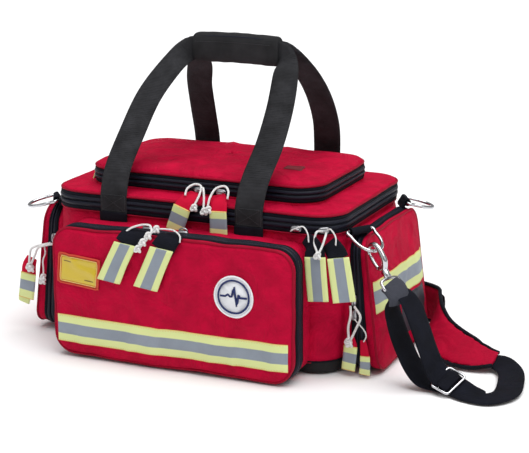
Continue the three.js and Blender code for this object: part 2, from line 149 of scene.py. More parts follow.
RED = material("red_nylon", (184, 0, 50), 0.75, weave=1.3, depth=0.35, blotch=0.16, grain=260, spec=0.12, crease=1.0)
PIPING = material("red_piping", (150, 0, 38), 0.6, weave=0.9, depth=0.2, spec=0.15)
TAB_RED = material("red_ribbon", (196, 4, 50), 0.65, weave=1.0, depth=0.3, spec=0.12)
PAD_RED = material("pad_nylon", (166, 0, 44), 0.75, weave=1.3, depth=0.35, blotch=0.12, grain=240, spec=0.12, crease=0.5)
LINING = material("grey_lining", (120, 122, 128), 0.9, weave=1.6, depth=0.2)
GRIP = material("grip_web", (44, 44, 46), 0.8, weave=1.4, depth=0.8, blotch=0.3, grain=420, spec=0.15)
BLACK = material("black_tape", (14, 16, 27), 0.75, weave=1.2, depth=0.8, blotch=0.35, spec=0.16, grain=420, crease=0.5)
RIB = material("zip_cover", (15, 18, 34), 0.42, weave=0.8, depth=0.25, spec=0.25)
CHAR = material("charcoal_web", (44, 44, 47), 0.8, weave=1.7, depth=0.9, blotch=0.4, grain=500, spec=0.2, crease=0.5)
BASE = material("base_fabric", (10, 10, 13), 0.55, weave=1.8, depth=0.3, spec=0.3)
YELLOW = material("fluorescent", (220, 229, 158), 0.65, weave=0.9, depth=0.2, spec=0.3)
SILVER = material("silver_grey", (138, 148, 160), 0.5, weave=1.2, depth=0.4, blotch=0.08)
HEM = material("orange_hem", (222, 190, 112), 0.7)
CARD = material("card_yellow", (206, 178, 24), 0.35, coat=0.5)
CARD_EDGE = material("card_binding", (206, 70, 44), 0.7, weave=1.0, depth=0.4)
INK = material("card_ink", (120, 95, 30), 0.6)
WHITE = material("badge_white", (240, 242, 246), 0.75, weave=0.8, depth=0.3)
NAVY = material("badge_navy", (24, 40, 96), 0.75, weave=0.8, depth=0.4)
CORD = material("white_cord", (244, 243, 242), 0.8, weave=1.4, depth=0.9, sheen=0.1)
THREAD = material("thread", (58, 58, 62), 0.7)
CHROME = material("chrome", (205, 206, 210), 0.16, metal=1.0)
STEEL = material("slider_steel", (172, 172, 176), 0.32, metal=1.0)
GREY_WEB = material("keeper_web", (62, 64, 74), 0.75, weave=1.6, depth=0.9, spec=0.3)
LABEL = material("label_grey", (46, 48, 58), 0.6, weave=1.0, depth=0.3)
PATCH = material("patch_red", (120, 10, 30), 0.6, weave=1.0, depth=0.3)
TEETH = material("zip_coil", (12, 12, 18), 0.4)


# ---- mesh builders, in millimetres ----
def build(name, verts, faces, mats, index=None, body=None):
    me = bpy.data.meshes.new(name)
    me.from_pydata([tuple(v) for v in np.asarray(verts, float).reshape(-1, 3) * MM], [], faces)
    for m in mats:
        me.materials.append(m)
    if index is not None:
        me.polygons.foreach_set("material_index", index)
    me.polygons.foreach_set("use_smooth", [True] * len(faces))
    me.update()
    o = bpy.data.objects.new(name, me)
    scene.collection.objects.link(o)
    if body:
        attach(o, body)
    return o


def loft(name, rings, mats, body=None, closed=True, caps=(False, False), index=None, flip=False):
    """A skin over rings of equal length. index(i, j) gives a face's material; flip turns the faces round."""
    rings = [np.asarray(r, float) for r in rings]
    n, faces, idx = len(rings[0]), [], []
    for i in range(len(rings) - 1):
        for j in range(n if closed else n - 1):
            k = (j + 1) % n
            f = (i * n + j, i * n + k, (i + 1) * n + k, (i + 1) * n + j)
            faces.append(f[::-1] if flip else f)
            idx.append(index(i, j) if index else 0)
    for which, i in ((0, 0), (1, len(rings) - 1)):
        if caps[which]:
            f = tuple(range(i * n, (i + 1) * n))
            faces.append(f if (which == 1) != flip else f[::-1])
            idx.append(index(i if which == 0 else i - 1, 0) if index else 0)
    return build(name, np.vstack(rings), faces, mats, idx, body)


def bake(o):
    """Applies an object's modifiers to its mesh."""
    bpy.context.view_layer.update()
    dg = bpy.context.evaluated_depsgraph_get()
    new = bpy.data.meshes.new_from_object(o.evaluated_get(dg))
    o.modifiers.clear()
    o.data = new


def unit(v):
    v = np.asarray(v, float)
    return v / max(np.linalg.norm(v), 1e-9)


def gaps(p):
    """The distances from each point to the next."""
    return np.linalg.norm(np.diff(np.asarray(p, float), axis=0), axis=1)


def angles(n):
    return np.linspace(0, 2 * math.pi, n, endpoint=False)


def smooth_path(pts, n):
    """Catmull-Rom through the rows, all columns, at n even steps."""
    p = np.asarray(pts, float)
    p = np.vstack([2 * p[0] - p[1], p, 2 * p[-1] - p[-2]])
    seg = gaps(p[1:-1, :3])
    cum = np.concatenate([[0], np.cumsum(seg)])
    out = []
    for s in np.linspace(0, cum[-1], n):
        i = min(int(np.searchsorted(cum, s, "right")) - 1, len(seg) - 1)
        t = (s - cum[i]) / seg[i]
        a, b, c, d = p[i : i + 4]
        square, cube = 2 * a - 5 * b + 4 * c - d, 3 * b - a - 3 * c + d
        out.append(0.5 * (2 * b + (c - a) * t + square * t * t + cube * t**3))
    return np.array(out)


def tube_path(pts, closed, steps):
    """A smooth curve through pts, by default with a point about every 2.5 mm."""
    p = np.asarray(pts, float)
    if closed:
        p = np.vstack([p, p[:1]])
    count = int(gaps(p).sum() / 2.5)
    if not closed:
        return smooth_path(p, steps or max(8, count))
    wound = np.vstack([p[-3:-1], p, p[1:3]])
    q = smooth_path(wound, (steps or max(12, count)) * 2)
    seg = gaps(wound)
    a, b = seg[:2].sum() / seg.sum(), 1 - seg[-2:].sum() / seg.sum()
    return q[int(a * (len(q) - 1)) : int(b * (len(q) - 1))]


def tube(name, pts, r, mat, body=None, slot=None, closed=False, sides=8, steps=None, smooth=True):
    """A round tube along pts; r is its radius, or a list of one radius a point."""
    p = tube_path(pts, closed, steps) if smooth else np.asarray(pts, float)
    n = len(p)
    if closed:
        tan = [unit(p[(i + 1) % n] - p[i - 1]) for i in range(n)]
    else:
        tan = [unit(p[min(i + 1, n - 1)] - p[max(i - 1, 0)]) for i in range(n)]
    up = unit(np.cross(tan[0], [0.3, 0.2, 1]))
    rings = []
    for i in range(n):
        up = unit(up - tan[i] * np.dot(up, tan[i]))
        side = np.cross(tan[i], up)
        ri = r[min(i, len(r) - 1)] if hasattr(r, "__len__") else r
        rings.append([p[i] + ri * (math.cos(a) * up + math.sin(a) * side) for a in angles(sides)])
    if closed:
        rings.append(rings[0])
    return loft(name, rings, [mat], body, caps=(not closed, not closed))


def across_row(q, i):
    """The normal and the side direction of a ribbon's row i."""
    t = unit(q[min(i + 1, len(q) - 1), :3] - q[max(i - 1, 0), :3])
    nor = unit(q[i, 3:6] - t * np.dot(q[i, 3:6], t))
    return nor, np.cross(t, nor)


def ribbon(
    name, rows, thick, mats, body=None, slot=None, steps=24, across=9, bands=None, along=None, camber=0.0,
    raw=None, cut=None,
):
    """Flat webbing through rows [x, y, z, nx, ny, nz, width], or through raw ones as they are.
    bands (over the width) and along (over the length) are (share, material index) lists, and cut is the
    direction of a slanted end."""
    q = smooth_path(rows, steps) if raw is None else raw
    n = len(q)
    last = across - 1
    rings = []
    for i in range(n):
        nor, side = across_row(q, i)
        if cut is not None:
            side = unit(cut)
        ring = []
        for top in (1, -1):
            for u in np.linspace(-1, 1, across)[::top]:
                h = thick / 2 * (1 - 0.75 * abs(u) ** 12)
                ring.append(q[i, :3] + side * u * (q[i, 6] / 2) + nor * (top * h + camber * (1 - u * u)))
        rings.append(ring)

    def pick(i, j):
        if along:
            s = (i + 0.5) / (n - 1)
            return next(m for end, m in along if s <= end + 1e-6)
        if bands:
            j %= 2 * across
            u = 0.99
            if j < last:
                u = (j + 0.5) / last
            elif j > last:
                u = (2 * across - 1 - j - 0.5) / last
            return next(m for end, m in bands if min(max(u, 0.001), 0.999) <= end + 1e-6)
        return 0

    return loft(name, rings, mats, body, caps=(True, True), index=pick)


def round_rect(x0, x1, y0, y1, r, step=5.0):
    """Points and outward normals of a rounded rectangle, anticlockwise from the middle of its low side."""
    w, h, arc = x1 - x0 - 2 * r, y1 - y0 - 2 * r, math.pi / 2 * r
    parts = [w / 2, arc, h, arc, w, arc, h, arc, w / 2]
    total = sum(parts)
    n = int(round(total / step / 4)) * 4
    pts, nor = [], []
    for s in np.arange(n) * total / n:
        k = 0
        while k < 8 and s > parts[k]:
            s -= parts[k]
            k += 1
        cx = (x1 - r) if k in (1, 2, 3) else (x0 + r)
        if k == 0:
            p, m = ((x0 + x1) / 2 + s, y0), (0, -1)
        elif k == 2:
            p, m = (x1, y0 + r + s), (1, 0)
        elif k == 4:
            p, m = (x1 - r - s, y1), (0, 1)
        elif k == 6:
            p, m = (x0, y1 - r - s), (-1, 0)
        elif k == 8:
            p, m = (x0 + r + s, y0), (0, -1)
        else:
            a = s / r + {1: -math.pi / 2, 3: 0, 5: math.pi / 2, 7: math.pi}[k]
            cy = y0 + r if k in (1, 7) else y1 - r
            m = (math.cos(a), math.sin(a))
            p = (cx + r * m[0], cy + r * m[1])
        pts.append(p)
        nor.append(m)
    return np.array(pts), np.array(nor)


def fold(p, scale, seed=0.0, stretch=(1, 1, 1)):
    """Smooth noise, about -1 to 1, whose swells are scale mm wide."""
    q = Vector((p[0] * stretch[0], p[1] * stretch[1], p[2] * stretch[2]))
    return noise.noise(q / scale + Vector((seed, seed * 1.7, seed * 0.3)))


class Pocket:
    """A soft box built along its depth: loop in (u, v), depth d, put in the world by place(u, v, d).
    sewn is how far, each way from the middle of its high side, the zip band lies flat for a fabric hinge."""

    FACE_STEPS = (0.985, 0.96, 0.92, 0.86, 0.78, 0.69, 0.6, 0.5, 0.4, 0.3, 0.2, 0.1, 0.0004)

    def __init__(self, rect, place, seed, wrinkle=1.2, dome=3.0, sewn=0):
        self.place, self.seed, self.wrinkle, self.dome, self.sewn = place, seed, wrinkle, dome, sewn
        self.p, self.n = round_rect(*rect)
        self.c = np.array([(rect[0] + rect[1]) / 2, (rect[2] + rect[3]) / 2])
        self.h = np.array([(rect[1] - rect[0]) / 2, (rect[3] - rect[2]) / 2])

    def ring(self, out, d, soft=1.0, sewn=0):
        """The loop at depth d, stood out by out mm and wrinkled by soft."""
        q = []
        for p, n in zip(self.p, self.n):
            o = out
            if sewn and n[1] > 0.98:
                o += (min(out, -0.4) - out) * min(1.0, max(0.0, (sewn - abs(p[0])) / 10))
            w = self.place(p[0], p[1], d)
            swell = 0.8 * fold(w, 34, self.seed) + 1.2 * fold(w, 95, self.seed + 2, (1, 1, 0.5))
            o += soft * self.wrinkle * swell
            q.append(self.place(p[0] + n[0] * o, p[1] + n[1] * o, d))
        return q

    def lift(self, u, v):
        """How far the face stands out at (u, v): its dome, soft folds and a few ridges."""
        a, b = abs(u - self.c[0]) / self.h[0], abs(v - self.c[1]) / self.h[1]
        edge = max(0.0, 1 - a**4) * max(0.0, 1 - b**4)
        s = self.seed
        w = fold((u, v, 0), 60, s + 3) * 1.5 + fold((u + 0.5 * v, v, 0), 26, s + 7, (0.5, 1, 1)) * 0.9
        w += 1.3 * max(0.0, 1 - abs(fold((u, v, 0), 48, s + 11, (1, 0.7, 1))) - 0.8) / 0.2
        return self.dome * edge + self.wrinkle * w * min(1, 2.5 * edge)

    def face(self, k, out, d, sign=1):
        """The loop shrunk by k towards the face's middle, lifted by sign times the face's lift."""
        q = []
        for p, n in zip(self.p, self.n):
            e = self.c + (p + n * out - self.c) * k
            q.append(self.place(e[0], e[1], d + sign * self.lift(e[0], e[1])))
        return q

    def on(self, u, v, d):
        return self.place(u, v, d + self.lift(u, v))

    def shell(self, name, outer, face_d, body, slot, inner):
        """outer: (out, depth) rings from the open edge to the face edge; inner: the wall thickness.
        Without face_d it is an open sleeve."""
        rings = [self.ring(-inner, outer[0][1], 0)] + [self.ring(o, d) for o, d in outer]
        mat = [0] * len(outer)
        if face_d is not None:
            last = outer[-1][0]
            rings += [self.face(k, last, face_d) for k in self.FACE_STEPS]
            rings += [self.face(k, last - 2.5, face_d - inner, 0.3) for k in self.FACE_STEPS[::-1]]
            rings.append(self.ring(-inner, outer[0][1], 0))
            mat += [0] * len(self.FACE_STEPS) + [1]
        else:
            rings += [self.ring(-inner, d, 0) for _, d in outer[::-1]]
            mat.append(1)
        return loft(name, rings, [RED, LINING], body, index=lambda i, j: mat[min(i, len(mat) - 1)])

    def band(self, name, d0, d1, zip_side, body):
        """Half of a zip band: stitched tape, a groove and the rib over the coil, with the zip at d1 if zip_side > 0."""
        a, b = (d0, d1) if zip_side > 0 else (d1, d0)
        s = 1 if b > a else -1
        w = s * abs(b - a)
        prof = [
            (-1.5, a), (1.3, a + s * 0.3), (2.0, a + 0.22 * w), (2.1, a + 0.4 * w), (1.3, a + 0.46 * w),
            (2.6, a + 0.53 * w), (3.4, a + 0.68 * w), (3.2, a + 0.86 * w), (1.9, a + 0.97 * w), (-2.5, b),
            (-4, b), (-4, a),
        ]
        rings = [self.ring(o, d, 0.4 if self.sewn else 0.7, self.sewn) for o, d in prof]
        rings.append(rings[0])
        mats = [BLACK, RIB]
        return loft(name, rings, mats, body, index=lambda i, j: int(4 <= i <= 8), flip=s < 0)

    def line(self, out, d, sewn=0):
        return np.array(self.ring(out, d, 0.7, sewn))

    def piping(self, name, out, d, r, body, mat=PIPING):
        return tube(name, self.line(out, d), r, mat, body, "red_cordura", closed=True, sides=7, smooth=False)

    def coil(self, name, d, body):
        """The zip's coil, drawn in where the band is sewn flat."""
        pts, q = self.line(-0.6, d, self.sewn), []
        if self.sewn:
            flat = [3.2 * (n[1] > 0.98 and abs(w[0]) < self.sewn) for w, n in zip(pts, self.n)]
            pts = np.array([w - (0, f, 0) for w, f in zip(pts, flat)])
        for i in range(len(pts)):
            for t in (0, 0.25, 0.5, 0.75):
                q.append(pts[i] * (1 - t) + pts[(i + 1) % len(pts)] * t)
        r = [1.5 if i % 2 else 1.0 for i in range(len(q))]
        return tube(name, q, r, TEETH, body, "black_webbing", closed=True, sides=5, smooth=False)


def dashes(name, lines, mat, body, pitch=4.0, length=2.4, r=0.35):
    """Short raised stitches along polylines, one mesh."""
    verts, faces = [], []
    for line in lines:
        p = np.asarray(line, float)
        seg = gaps(p)
        cum = np.concatenate([[0], np.cumsum(seg)])

        def at(s):
            i = min(int(np.searchsorted(cum, s, "right")) - 1, len(seg) - 1)
            return p[i] + (p[i + 1] - p[i]) * (s - cum[i]) / seg[i]

        for s in np.arange(0.5, cum[-1] - length, pitch):
            a, b = at(s), at(s + length)
            t = unit(b - a)
            u = unit(np.cross(t, [0.31, 0.52, 0.79]))
            v = np.cross(t, u)
            k = len(verts)
            for e in (a, b):
                for ang in (0, 2.094, 4.189):
                    verts.append(e + r * (math.cos(ang) * u + math.sin(ang) * v))
            faces += [(k, k + 1, k + 4, k + 3), (k + 1, k + 2, k + 5, k + 4), (k + 2, k, k + 3, k + 5)]
            faces += [(k, k + 2, k + 1), (k + 3, k + 4, k + 5)]
    return build(name, verts, faces, [mat], None, body)


# ---- main body ----
def body_place(u, v, d):
    return np.array([u, v, d])


BODY_RECT = (-232, 232, -145, 145, 45)
body = Pocket(BODY_RECT, body_place, 1.0, wrinkle=2.6, dome=2, sewn=176)


def wall(z):
    """How far the side wall stands out: full in the middle, drawn in at the seams."""
    t = min(max((z - 18) / 194, 0), 1)
    return 3.6 * math.sin(math.pi * t) ** 0.7 - (1.0 if z < 20 or z > 205 else 0)


levels = [18, 24, 34, 48, 64, 82, 100, 118, 136, 154, 170, 186, 198, 207, 212]
rings = [body.ring(-5, 18, 0)] + [body.ring(wall(z), z, 1.2) for z in levels]
rings += [body.ring(-5, z, 0) for z in (212, 160, 90, 30)] + [body.face(k, -5, 24) for k in (0.9, 0.5, 0.02)]
main = loft("body_fabric", rings, [RED, LINING], "bag_body", index=lambda i, j: int(i >= len(levels)))
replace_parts(main, "body_shell")
rings = [body.face(k, -14, 0.4, 0) for k in (0.02, 0.5, 0.98)]
rings += [body.ring(o, z, 0) for o, z in ((-8, 1), (-3.5, 3.5), (-0.8, 8), (0.8, 14), (1.4, 19), (1.2, 21), (-1, 21))]
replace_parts(loft("base_fabric", rings, [BASE], "bag_body"), "base_panel")
body.piping("base_seam", 1.4, 21, 1.2, "bag_body", BLACK)
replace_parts(body.band("body_zip_lower", 211.5, 224.6, 1, "bag_body"), "body_zip_tape")
body.coil("body_zip_coil", 224.2, "bag_body")
body.piping("body_rim_piping", 1.0, 210.6, 1.3, "bag_body")

# ---- lid ----
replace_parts(body.band("lid_zip_upper", 225.4, 237.4, -1, "lid"), "lid_zip_tape")
body.coil("lid_zip_coil", 225.8, "lid")
lid = Pocket(BODY_RECT, body_place, 2.0, wrinkle=1.0, dome=2.5, sewn=176)
outer = [(-0.5, 236.5), (0.4, 238), (-0.2, 240.4), (-2.2, 242)]
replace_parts(lid.shell("lid_fabric", outer, 242.2, "lid", "red_cordura", 5), "main_lid")
body.piping("lid_piping", 0.9, 238.6, 1.9, "lid")

# ---- pocket on the lid ----
top = Pocket((-188, 188, -114, 114, 42), body_place, 3.0, wrinkle=2.0, dome=8, sewn=141)
outer = [(0.5, 241), (1.0, 244), (0.5, 248)]
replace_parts(top.shell("top_pocket_gusset_fabric", outer, None, "lid", "red_cordura", 4), "top_pocket_gusset")
top.band("top_zip_lower", 246.5, 258, 1, "lid")
top.coil("top_zip_coil_low", 257.6, "lid")
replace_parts(top.band("top_zip_upper", 259, 269, -1, "top_pocket_cover"), "top_cover_tape")
top.coil("top_zip_coil_up", 259.4, "top_pocket_cover")
outer = [(-0.5, 268), (0.6, 269.5), (0.2, 272.6), (-2.2, 274.8)]
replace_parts(top.shell("top_cover_fabric", outer, 275, "top_pocket_cover", "red_cordura", 4), "top_cover")
top.piping("top_cover_piping", 0.8, 270.6, 1.9, "top_pocket_cover")


# ---- front pocket ----
def front_place(u, v, d):
    return np.array([u, -145 - d, v])


FRONT_COVER = "front_pocket_cover"
front = Pocket((-192, 192, 6, 199, 30), front_place, 4.0, wrinkle=2.1, dome=5.0)
outer = [(1.5, -4), (1.0, 8), (0.2, 20), (0.4, 30)]
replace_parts(front.shell("front_gusset_fabric", outer, None, "bag_body", "red_cordura", 4), "front_pocket_gusset")
front.band("front_zip_inner", 27.5, 41.2, 1, "bag_body")
front.coil("front_zip_coil_in", 40.8, "bag_body")
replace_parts(front.band("front_zip_outer", 41.8, 55, -1, FRONT_COVER), "front_flap_tape")
front.coil("front_zip_coil_out", 42.2, FRONT_COVER)
outer = [(-0.2, 54), (0.9, 56), (0.9, 61), (-0.8, 64.8), (-3.4, 66.6)]
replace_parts(front.shell("front_cover_fabric", outer, 66.8, FRONT_COVER, "red_cordura", 4), "front_flap")
front.piping("front_cover_piping", 0.6, 63.6, 2.1, FRONT_COVER)


# ---- side pockets ----
def side_place(sign):
    """The end pockets are deeper at the floor than at the top."""

    def place(u, v, d):
        return np.array([sign * (232 + d * (1 - 0.45 * (v - 8) / 195)), sign * u, v])

    return place


sides = {}
for name, sign in (("right", 1), ("left", -1)):
    s = sides[name] = Pocket((-112, 112, 8, 203, 28), side_place(sign), 5.0 + sign, wrinkle=2.2, dome=6)
    outer = [(1.0, -4), (0.8, 6), (0.4, 16)]
    gusset = s.shell(name + "_gusset_fabric", outer, None, "bag_body", "red_cordura", 4)
    s.band(name + "_zip_inner", 14.5, 28.0, 1, "bag_body")
    s.coil(name + "_zip_coil_in", 27.6, "bag_body")
    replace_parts(gusset, name + "_pocket_gusset")
    cov = name + "_pocket_cover"
    s.band(name + "_zip_outer", 28.8, 41.5, -1, cov)
    s.coil(name + "_zip_coil_out", 29.2, cov)
    outer = [(-0.2, 40.5), (0.8, 43), (0.9, 52), (-0.6, 56.2), (-3.0, 57.8)]
    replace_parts(s.shell(name + "_cover_fabric", outer, 58, cov, "red_cordura", 4), name + "_flap")
    s.piping(name + "_cover_piping", 0.5, 55, 1.9, cov)


# ---- things sewn on the faces ----
def applied(name, pocket, d, box, bands, mats, cov, node=None, lift=1.1, turn=0.0, nu=48, nv=14):
    """A flat piece over box (u0, u1, v0, v1), turned by turn, that follows the pocket's face and stands lift
    above it. bands are (share of the height, material index)."""
    u0, u1, v0, v1 = box
    cu, cv = (u0 + u1) / 2, (v0 + v1) / 2
    ct, st = math.cos(turn), math.sin(turn)
    verts, faces, idx = [], [], []
    edges = [0.0]
    for end, _ in bands:
        edges += list(np.linspace(edges[-1], end, max(2, int(round((end - edges[-1]) * nv)) + 1))[1:])
    for t in edges:
        for i in range(nu + 1):
            a = u0 + (u1 - u0) * i / nu - cu
            b = v0 + (v1 - v0) * t - cv
            rim = i in (0, nu) or t in (0.0, edges[-1])
            verts.append(pocket.on(cu + a * ct - b * st, cv + a * st + b * ct, d + (0.1 if rim else lift)))
    nn = nu + 1
    for k in range(len(edges) - 1):
        m = next(x for end, x in bands if edges[k + 1] <= end + 1e-6)
        for i in range(nu):
            faces.append((k * nn + i, k * nn + i + 1, (k + 1) * nn + i + 1, (k + 1) * nn + i))
            idx.append(m)
    o = build(name, verts, faces, mats, idx, cov)
    if node:
        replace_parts(o, node)
    return o


TAPE = [(0.03, 0), (0.3, 1), (0.7, 2), (0.97, 1), (1.0, 0)]
TAPE_MATS = [HEM, YELLOW, SILVER]
PLAIN = [(1.0, 0)]
strip = (-187, 187, 24, 66)
applied("front_strip", front, 67.2, strip, TAPE, TAPE_MATS, FRONT_COVER, "front_reflective", nu=80, nv=20)
for name in ("right", "left"):
    cov, node = name + "_pocket_cover", name + "_reflective"
    strip = (-107, 107, 92, 140)
    applied(name + "_strip", sides[name], 58.3, strip, TAPE, TAPE_MATS, cov, node, nu=60, nv=20)
for name, pocket, d, box, mat, cov, node, nu in (
    ("right_label_patch", sides["right"], 58.3, (-20, 95, 34, 88), LABEL, "right_pocket_cover", "right_label", 30),
    ("top_label_patch", top, 275.3, (112, 142, -57, -41), PATCH, "top_pocket_cover", "top_patch", 12),
):
    applied(name, pocket, d, box, PLAIN, [mat], cov, node, nu=nu)
for v in (26.5, 63.5):
    line = [front.on(u, v, 68.4) for u in np.arange(-184, 185, 8)]
    dashes("front_strip_stitch%d" % v, [line], HEM, FRONT_COVER)
loop = (
    (-18, 36), (20, 36), (60, 36), (93, 36), (93, 60), (93, 86), (60, 86), (20, 86), (-18, 86), (-18, 60), (-18, 36),
)
line = [sides["right"].on(u, v, 59.4) for u, v in loop]
dashes("label_stitch", [line], THREAD, "right_pocket_cover")
loop = ((113.5, -55.5), (140.5, -55.5), (140.5, -42.5), (113.5, -42.5), (113.5, -55.5))
line = [top.on(u, v, 276.4) for u, v in loop]
dashes("patch_stitch", [line], THREAD, "top_pocket_cover", pitch=2.6, length=1.6)

# card window
CU, CV, TURN = -147, 137, -0.06
V_LOW, V_HIGH = CV - 13, CV + 13
for name, d, box, mat, node, lift, nu in (
    ("card_border", 67.2, (CU - 36, CU + 36, CV - 23, CV + 23), CARD_EDGE, "id_window", 1.4, 24),
    ("card_face", 68.2, (CU - 31, CU + 31, CV - 18.5, CV + 18.5), CARD, None, 1.2, 20),
    ("card_rule_0", 69.3, (CU - 26, CU - 12, V_HIGH - 0.8, V_HIGH + 0.8), INK, None, 0.5, 6),
    ("card_rule_1", 69.3, (CU + 10, CU + 26, V_LOW - 0.8, V_LOW + 0.8), INK, None, 0.5, 6),
):
    applied(name, front, d, box, PLAIN, [mat], FRONT_COVER, node, lift=lift, turn=TURN, nu=nu)


def card_at(a, b, d):
    c, s = math.cos(TURN), math.sin(TURN)
    return front.on(CU + a * c - b * s, CV + a * s + b * c, d)


def cover_wire(name, pts, r, mat, slot, closed=True):
    """A thin cord sewn on the front cover."""
    return tube(name, pts, r, mat, FRONT_COVER, slot, closed=closed, sides=6, smooth=False)


line = [card_at(a, b, 68.6) for a, b in round_rect(-35.5, 35.5, -22.5, 22.5, 3)[0]]
cover_wire("card_binding_edge", line, 1.3, CARD_EDGE, "id_window")
line = [card_at(a, b, 69.0) for a, b in round_rect(-31.5, 31.5, -19, 19, 1.5)[0]]
cover_wire("card_inner_edge", line, 0.8, HEM, "id_window")

# badge: a plain disc with a rim, a ring and a pulse line
BU, BV = 105, 128


def circle(r, d, n):
    return [front.on(BU + r * math.cos(a), BV + r * math.sin(a), d) for a in angles(n)]


rings = [circle(0.2, 68.6, 48), circle(29.5, 68.6, 48), circle(29.5, 67.0, 48)]
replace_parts(loft("badge_face", rings, [WHITE], FRONT_COVER), "round_patch")
cover_wire("badge_rim", circle(29.6, 68.6, 40), 1.5, WHITE, "round_badge")
cover_wire("badge_ring", circle(24, 69.0, 48), 1.5, NAVY, "round_badge")
pulse = [(-21, 0), (-13, 0), (-9, 3), (-6, 0), (-3, 0), (1, 15), (5, -14), (8.5, 4), (10.5, 0), (21, 0)]
line = []
for (a, b), (c, e) in zip(pulse, pulse[1:]):
    line += [front.on(BU + a + (c - a) * t, BV + b + (e - b) * t, 68.9) for t in (0, 0.34, 0.67)]
line.append(front.on(BU + 21, BV, 68.9))
cover_wire("badge_pulse", line, 1.6, NAVY, "round_badge", closed=False)


# ---- fabric hinges ----
def hinge_strip(name, rows, width, cross=(1, 0, 0)):
    """A strip whose section runs through rows and whose length is width, blended over the joint."""
    sec = smooth_path(rows, 14)
    axis = np.array(cross, float)
    rings = [[p + axis * w for p in sec] for w in np.linspace(-width / 2, width / 2, 60)]
    o = loft(name, rings, [BLACK], None, closed=False)
    m = o.modifiers.new("thick", "SOLIDIFY")
    m.thickness = 0.0012
    m.offset = 0
    bake(o)
    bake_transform(o)


rows = [(0, 142.5, 214), (0, 143.0, 220), (0, 143.3, 225), (0, 143.0, 230), (0, 142.5, 236)]
hinge_strip("lid_hinge_cloth", rows, 350)
rows = [(0, 111.5, 248), (0, 112.2, 254), (0, 112.4, 258.5), (0, 112.2, 263), (0, 111.5, 269)]
hinge_strip("top_hinge_cloth", rows, 280)
rows = [(0, -182, 8.6), (0, -188, 8.2), (0, -194, 8.6), (0, -202, 9.4)]
hinge_strip("front_hinge_cloth", rows, 316)
for name, s in (("right", 1), ("left", -1)):
    rows = [(s * 255, 0, 10.8), (s * 261, 0, 10.4), (s * 267, 0, 10.6), (s * 275, 0, 11.2)]
    hinge_strip(name + "_hinge_cloth", rows, 160, (0, 1, 0))


# ---- carry loops and grip ----
def loop_rows(s):
    """The front loop for s = -1 and the rear one for s = 1: up one leg, over the grip and down the other."""
    right, left = (98, -123) if s < 0 else (100, -108)
    n, lean = (0, s, 0), (0, 0.85 * s, 0.5)
    feet = ((148.4 * s, 204), (148.6 * s, 222), (148.2 * s, 242))
    rows = [(left, y, z, *n, 44) for y, z in feet]
    rows += [
        (left + 3, 138 * s, 280, *lean, 44), (left + 11, 108 * s, 327, *lean, 44),
        (left + 22, 72 * s, 378, *lean, 43), (left + 40, 36 * s, 418, *lean, 41),
        (-69, 9 * s, 439, *n, 36), (-51, 5 * s, 446, *n, 33), (13, 5 * s, 446, *n, 33), (77, 5 * s, 446, *n, 33),
        (95, 9 * s, 438, *n, 36), (right + 8, 36 * s, 414, *lean, 41), (right + 15, 72 * s, 374, *lean, 43),
        (right + 14, 108 * s, 326, *lean, 44), (right + 5, 138 * s, 280, *lean, 44),
    ]
    return rows + [(right, y, z, *n, 44) for y, z in feet[::-1]]


def fold_aside(o, s):
    """Gives the piece its own copy of its mesh, the same for the rear loop and the grip (s > 0) as for the front loop;
    nothing is folded aside.
    """
    if s > 0:
        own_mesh(o)
    else:
        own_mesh(o)


for s, name, lb in ((-1, "front", "front_loop"), (1, "rear", "rear_loop")):
    rows = loop_rows(s)
    o = ribbon(name + "_carry_loop", rows, 2.6, [CHAR], lb, "charcoal_webbing", steps=150, across=11)
    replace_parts(o, name + "_handle")
    fold_aside(o, s)
    for side in (0, -1):
        x = rows[side][0]
        patch = [(x, y * s, z, 0, s, 0, 46) for y, z in ((150.4, 199), (150.6, 206), (150.6, 214))]
        ribbon("%s_loop_end_%d" % (name, side + 1), patch, 1.8, [BLACK], "bag_body", "black_webbing", steps=8)
        box = [(-19, 216), (19, 216), (19, 240), (-19, 240), (-19, 216), (19, 240), (19, 216), (-19, 240)]
        cross = [(x + a, 150.2 * s, z) for a, z in box]
        o = dashes("%s_loop_stitch_%d" % (name, side + 1), [cross], THREAD, lb, pitch=3.2, length=2.2)
        fold_aside(o, s)
GRIP_X0, GRIP_X1, GRIP_Z = -57, 83, 446
sec = []
for a in angles(40):
    c, t = math.cos(a), math.sin(a)
    sec.append((math.copysign(abs(c) ** 0.55, c) * 12.2, math.copysign(abs(t) ** 0.7, t) * 22.5))


def grip_end(x, k):
    return [(x, a * 0.86 * k, GRIP_Z + b * 0.86 * k) for a, b in sec]


rings = [grip_end(GRIP_X0, k) for k in (0.05, 0.5, 0.8)]
for x in np.linspace(GRIP_X0, GRIP_X1, 60):
    k = 0.86 + 0.14 * min(1, min(x - GRIP_X0, GRIP_X1 - x) / 5) ** 0.5
    bow = 2.0 * math.sin(math.pi * (x - GRIP_X0) / 140)
    rings.append([(x, a * k, GRIP_Z + b * k + bow + 0.7 * fold((x, a, b), 14, 9)) for a, b in sec])
rings += [grip_end(GRIP_X1, k) for k in (0.8, 0.5, 0.05)]
grip = loft("grip_cover", rings, [GRIP], "rear_loop", flip=True)
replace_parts(grip, "grip_wrap")
line = [(-54, -8.6, 463), (-10, -9.2, 465.5), (40, -9.2, 465.5), (80, -8.6, 462.5)]
flap_edge = tube("grip_flap_edge", line, 1.3, RIB, "rear_loop", "black_webbing")
line = [(x, -12.9, 456 + 1.6 * math.sin(math.pi * (x - GRIP_X0) / 140)) for x in range(-52, 80, 6)]
for o in (grip, flap_edge, dashes("grip_stitch", [line], THREAD, "rear_loop")):
    fold_aside(o, 1)


# ---- D-rings ----
def chrome(name, pts, r, body="bag_body", node=None, **shape):
    o = tube(name, pts, r, CHROME, body, "hook_metal", **shape)
    if node:
        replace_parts(o, node)
    return o


